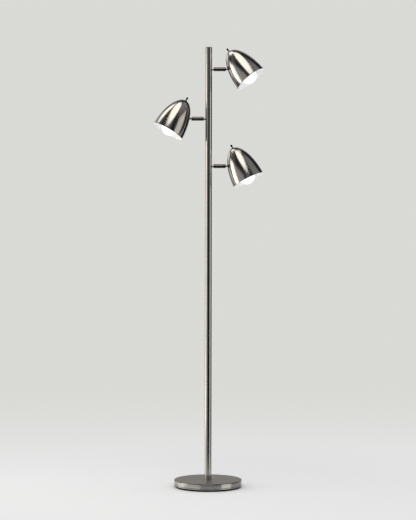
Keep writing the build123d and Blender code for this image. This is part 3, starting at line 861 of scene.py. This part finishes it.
def bulb_outline(inset):
    """The glass from its neck to its crown: a straight neck, a hollow shoulder and a round crown."""
    crown, neck = BULB_RADIUS - inset, BULB_NECK - inset
    shoulder = BULB_SHOULDER + inset
    middle = -BULB_TIP + BULB_RADIUS
    turn = acos((neck + shoulder) / (crown + shoulder))
    top = middle + (crown + shoulder) * sin(turn)
    turned_by = degrees(turn)
    curve = rounded((neck + shoulder, top), shoulder, 180, 180 + turned_by, 10)
    return [(neck, -BULB_NECK_TOP), *curve, *rounded((0, middle), crown, turned_by, -90, 30)[1:]]


def bulb_pattern():
    """The bulb's glass, both walls closed on the axis."""
    outside, inside = bulb_outline(0), bulb_outline(BULB_GLASS)
    outside[-1] = (0, outside[-1][1])
    inside[-1] = (0, inside[-1][1])
    piece = turned("bulb_pattern", [*outside, *reversed(inside)], steps=96)
    soften(piece, angle=40)
    return piece


def bulb_cap_pattern():
    """The screw cap: a rolled thread, and the contact on its end."""
    thread = []
    for i in range(CAP_THREAD_TURNS * CAP_THREAD_POINTS + 1):
        part = i / CAP_THREAD_POINTS
        level = -CAP_END + CAP_THREAD_START + part * CAP_THREAD_PITCH
        depth = CAP_THREAD_DEPTH * (0.5 - 0.5 * cos(2 * pi * part))
        thread.append((CAP_RADIUS - depth, level))
    root = CAP_RADIUS - CAP_THREAD_DEPTH
    inner = root - CAP_WALL
    outline = [
        (inner, -CAP_END),
        (CAP_RADIUS, -CAP_END),
        *thread,
        (root, -CAP_TOP - CAP_TAPER),
        (CAP_CONTACT, -CAP_TOP),
        (CAP_CONTACT, -CAP_CONTACT_DEPTH),
        (0, -CAP_CONTACT_DEPTH),
        (0, -CAP_TOP - CAP_WALL),
        (CAP_CONTACT - CAP_WALL, -CAP_TOP - CAP_WALL),
        (inner, -CAP_TOP - CAP_TAPER - CAP_WALL),
    ]
    piece = turned("bulb_cap_pattern", outline, steps=72)
    soften(piece, angle=50)
    return piece


def heads():
    """The three heads, each a copy of the same patterns."""
    shade = shade_pattern()
    patterns = {
        "switch_knob": (knob_pattern(), "black_plastic", black_knob, "fluted"),
        "switch_housing": (switch_pattern(), "black_plastic", None, "turned"),
        "lampholder": (holder_pattern(), "porcelain", glazed_ceramic, "glazed"),
        "bulb_glass": (bulb_pattern(), "frosted_glass", bulb_frost, "blown"),
        "bulb_cap": (bulb_cap_pattern(), "zinc_steel", zinc, "rolled"),
    }
    for head in HEADS:
        matrix = head_frame(head)
        body = f"head_{head}"
        piece = copy_of(shade, f"shade_{head}_spun", matrix)
        settle(piece, body, "brushed_nickel", [f"shade_{head}"])
        outside = nickel(f"nickel_shade_{head}", matrix, "around", depth=SPUN)
        axis = matrix.to_3x3() @ Vector((0, 0, 1))

        def inner_face(face, tip=matrix.translation, axis=axis):
            """Whether a face looks towards the shade's axis."""
            from_axis = face.center - tip
            from_axis -= axis * from_axis.dot(axis)
            return int(face.normal.dot(from_axis) < 0)

        paint_faces(piece, [outside, enamel], inner_face)
        for node, (pattern, slot, material, word) in patterns.items():
            rides = f"knob_{head}" if node == "switch_knob" else body
            made = copy_of(pattern, f"{node}_{head}_{word}", matrix)
            settle(made, rides, slot, [f"{node}_{head}"], material)
    for pattern in (shade, *(entry[0] for entry in patterns.values())):
        bpy.data.objects.remove(pattern)


# ---- Studio ----

LAMP_TINT = (1.0, 0.96, 0.86)
OVERHEAD_LAMP = {"centre": (-0.15, -1.75, 3.4), "target": (-0.15, -1.75, 0), "size": (1.7, 4.0)}
OVERHEAD_STRENGTH = 1.68
LEFT_LAMP = {"centre": (-2.3, -0.07, 0.95), "target": (0, -0.07, 0.95), "size": (1.2, 2.0)}
LEFT_STRENGTH = 1.8

BACKDROP_HIGH = colour(0.696, 0.703, 0.668)
BACKDROP_LOW = colour(0.800, 0.803, 0.805)
BACKDROP_TURN = (-9.0, -5.0)  # elevations, in degrees, between which the low colour becomes the high
DOME = colour(0.80, 0.80, 0.79)
ROOM_DARK = colour(0.012, 0.014, 0.027)

FLOOR_RADIUS = 6.0
FLOOR_TONES = (colour(0.784, 0.790, 0.815), colour(0.804, 0.810, 0.835))
FLOOR_FADE = (0.45, 1.5)  # distances between which the floor fades from sight
# How clearly the metal shows the floor, near the base and farther off, and where that changes
FLOOR_IN_METAL = (0.45, 0.10)
FLOOR_IN_METAL_REACH = (0.30, 0.70)

# The room's panels as the metal shows them: the middle's azimuth and elevation, half the width and
# half the height, and the softness of the edge, all in degrees, then the strength. Azimuth 0 is the
# camera's side, and the azimuth grows towards the viewer's right.
ROOM_PANELS = {
    "left screen": ((-128, 18), (28, 11), 6, 0.95),
    "high left screen": ((-113, 55), (21, 15), 8, 1.90),
    "low left screen": ((-118, -2), (24, 7), 3, 0.50),
    "left of the floor": ((-107, -11), (17, 5), 3, 1.20),
    "right screen": ((66, 0), (19, 21), 4, 0.75),
    "right wall": ((93, 26), (18, 8), 5, 0.20),
    "high right wall": ((71, 49), (35, 20), 10, 0.22),
    "front left wall": ((-60, -5), (33, 20), 4, 0.32),
    "high front left wall": ((-71, 30), (11, 24), 10, 0.10),
    "front wall": ((0, 15), (16, 8), 6, 0.16),
    "front of the floor": ((-50, -12), (22, 4), 3, 0.16),
    "back of the floor": ((-171, -16), (33, 10), 4, 0.40),
}

# Where the backdrop stands behind the lamp, in the same terms; the strength is how clearly the
# metal shows it.
BACKDROP_IN_METAL = {
    "backdrop": ((174, 6), (20, 24), 8, 0.85),
    "top of the backdrop": ((180, 42), (28, 11), 8, 0.50),
}


def studio_floor():
    """A pale floor that fades into the backdrop with distance, and shows only in part in the metal."""
    clear()
    bpy.ops.mesh.primitive_circle_add(vertices=96, radius=FLOOR_RADIUS, fill_type="NGON")
    floor = bpy.context.object
    floor.name = "studio_floor"
    material = bpy.data.materials.new("studio_floor")
    material.use_nodes = True
    sheet = Sheet(material.node_tree)
    here = sheet.place()
    reach = sheet.node("ShaderNodeVectorMath", {"operation": "LENGTH"}, {0: here}, out="Value")
    fade = sheet.fit(reach, *FLOOR_FADE)
    mottle = sheet.noise(here, scale=3.0, detail=2.0)
    paint = sheet.blend(mottle, *FLOOR_TONES)
    matt = sheet.node("ShaderNodeBsdfDiffuse", {}, {"Color": paint})
    clearing = sheet.node("ShaderNodeBsdfTransparent", {}, {})
    glossy = sheet.node("ShaderNodeLightPath", {}, {}, out="Is Glossy Ray")
    in_metal = glossy * (1 - sheet.fit(reach, *FLOOR_IN_METAL_REACH, *FLOOR_IN_METAL))
    unseen = fade + (1 - fade) * in_metal
    both = sheet.node("ShaderNodeMixShader", {}, {0: unseen, 1: matt, 2: clearing})
    sheet.node("ShaderNodeOutputMaterial", {}, {"Surface": both})
    floor.data.materials.append(material)


def softbox(name, shape, strength, centre, target, size):
    """A studio lamp with a flat face, unseen by the camera; its strength is its radiance."""
    clear()
    bpy.ops.object.light_add(type="AREA", location=centre)
    lamp = bpy.context.object
    lamp.name = name
    lamp.rotation_mode = "QUATERNION"
    lamp.rotation_quaternion = (Vector(centre) - Vector(target)).to_track_quat("Z", "Y")
    lamp.data.shape = shape
    lamp.data.size, lamp.data.size_y = size
    area = size[0] * size[1] * (pi / 4 if shape == "ELLIPSE" else 1)
    lamp.data.energy = strength * pi * area
    lamp.data.color = LAMP_TINT
    lamp.visible_camera = False


def panels_seen(sheet, azimuth, elevation, panels):
    """The strength of soft-edged panels, from the angles between a direction and their middles."""
    total = 0.0
    for centre, half, soft, strength in panels.values():
        off = sheet.maths("PINGPONG", azimuth - centre[0], 180.0)
        rise = sheet.maths("ABSOLUTE", elevation - centre[1])
        across = sheet.fit(off, half[0] - soft, half[0] + soft, to_low=1.0, to_high=0.0)
        upright = sheet.fit(rise, half[1] - soft, half[1] + soft, to_low=1.0, to_high=0.0)
        total = total + across * upright * strength
    return total


def room():
    """The world: a pale dome that lights, a backdrop, and a dark room with panels in the metal."""
    world = bpy.data.worlds.new("room")
    bpy.context.scene.world = world
    world.use_nodes = True
    world.cycles.sampling_method = "NONE"
    sheet = Sheet(world.node_tree)
    towards = sheet.node("ShaderNodeTexCoord", {}, {}, out="Generated")
    x, y, z = [sheet.node("ShaderNodeSeparateXYZ", {}, {"Vector": towards}, out=axis) for axis in "XYZ"]
    azimuth = sheet.maths("ARCTAN2", x, 0.0 - y) * degrees(1)
    elevation = sheet.maths("ARCSINE", z) * degrees(1)
    light = panels_seen(sheet, azimuth, elevation, ROOM_PANELS)
    behind = panels_seen(sheet, azimuth, elevation, BACKDROP_IN_METAL)
    rays = ("Is Camera Ray", "Is Diffuse Ray", "Is Glossy Ray", "Is Transmission Ray")
    ways = [sheet.node("ShaderNodeLightPath", {}, {}, out=ray) for ray in rays]
    camera, diffuse, glossy, transmission = ways
    panels = sheet.node("ShaderNodeBackground", {}, {"Color": colour(*LAMP_TINT), "Strength": light})
    gloom = sheet.node("ShaderNodeBackground", {}, {"Color": ROOM_DARK, "Strength": 1.0})
    studio_light = sheet.node("ShaderNodeAddShader", {}, {0: panels, 1: gloom})
    dome = sheet.node("ShaderNodeBackground", {}, {"Color": DOME, "Strength": 1.0})
    height = sheet.fit(elevation, *BACKDROP_TURN)
    pale = sheet.blend(height, BACKDROP_LOW, BACKDROP_HIGH)
    backdrop = sheet.node("ShaderNodeBackground", {}, {"Color": pale, "Strength": 1.0})
    lit = sheet.node("ShaderNodeMixShader", {}, {0: diffuse, 1: studio_light, 2: dome})
    shown = camera + transmission + glossy * behind
    seen = sheet.node("ShaderNodeMixShader", {}, {0: shown, 1: lit, 2: backdrop})
    sheet.node("ShaderNodeOutputWorld", {}, {"Surface": seen})


def studio():
    """The camera at the photograph's place, the floor, the room and the lamps."""
    clear()
    aim = (radians(90), radians(CAMERA_ROLL), 0)
    bpy.ops.object.camera_add(location=CAMERA_PLACE, rotation=aim)
    camera = bpy.context.object
    camera.data.lens, camera.data.sensor_width = CAMERA_LENS, SENSOR
    bpy.context.scene.camera = camera
    bpy.context.scene.view_settings.view_transform = "Standard"
    studio_floor()
    room()
    softbox("overhead_softbox", "ELLIPSE", OVERHEAD_STRENGTH, **OVERHEAD_LAMP)
    softbox("left_softbox", "RECTANGLE", LEFT_STRENGTH, **LEFT_LAMP)


# ---- Finishes of the pieces, and the lamp put together ----

PLASTIC_TONES = (colour(0.006, 0.006, 0.007), colour(0.014, 0.014, 0.016))
black_plastic = moulded("black_plastic", *PLASTIC_TONES, roughness=0.38)
KNOB_TONES = (colour(0.003, 0.003, 0.003), colour(0.007, 0.007, 0.008))
black_knob = moulded("black_knob", *KNOB_TONES, roughness=0.50, gloss=0.2)
CERAMIC_TONES = (colour(0.78, 0.77, 0.74), colour(0.84, 0.83, 0.81))
glazed_ceramic = moulded("glazed_ceramic", *CERAMIC_TONES, roughness=0.18, grain_scale=500.0, strength=0.06)
enamel = white_enamel("white_enamel")
bulb_frost = frosted_glass("bulb_frost")
zinc = plated("zinc_plate", colour(0.50, 0.51, 0.52), colour(0.68, 0.69, 0.70), roughness=0.34)
brass = plated("contact_brass", colour(0.62, 0.46, 0.20), colour(0.80, 0.62, 0.32), roughness=0.30)
iron = cast_iron("cast_iron")
nickel_tube = nickel("nickel_tube", lines="along")
nickel_plain = nickel("nickel_turned", lines="around")
# The arms' darker nickel, for the stems, also used as painted shade on the base cover's rim and groove
dark_nickel_and_rim_shade = nickel("dark_nickel_and_rim_shade", lines="around", tones=ARM_TONES)

FINISH_OF_SLOT = {
    "brushed_nickel": nickel_plain,
    "black_plastic": black_plastic,
    "cast_iron": iron,
    "zinc_steel": zinc,
    "brass": brass,
    "porcelain": glazed_ceramic,
    "frosted_glass": bulb_frost,
}

finish_of_node = {part["node"]: FINISH_OF_SLOT[part["material_slot"]] for part in record["subparts"]}
for head in HEADS:
    finish_of_node[f"stem_{head}"] = dark_nickel_and_rim_shade
for node, cad in frame["nodes"].items():
    cad.data.materials.clear()
    cad.data.materials.append(finish_of_node[node])

studio()
base_cover()
base_pan()
cord_gland()
pole_sections()
pole_cap()
arms()
heads()
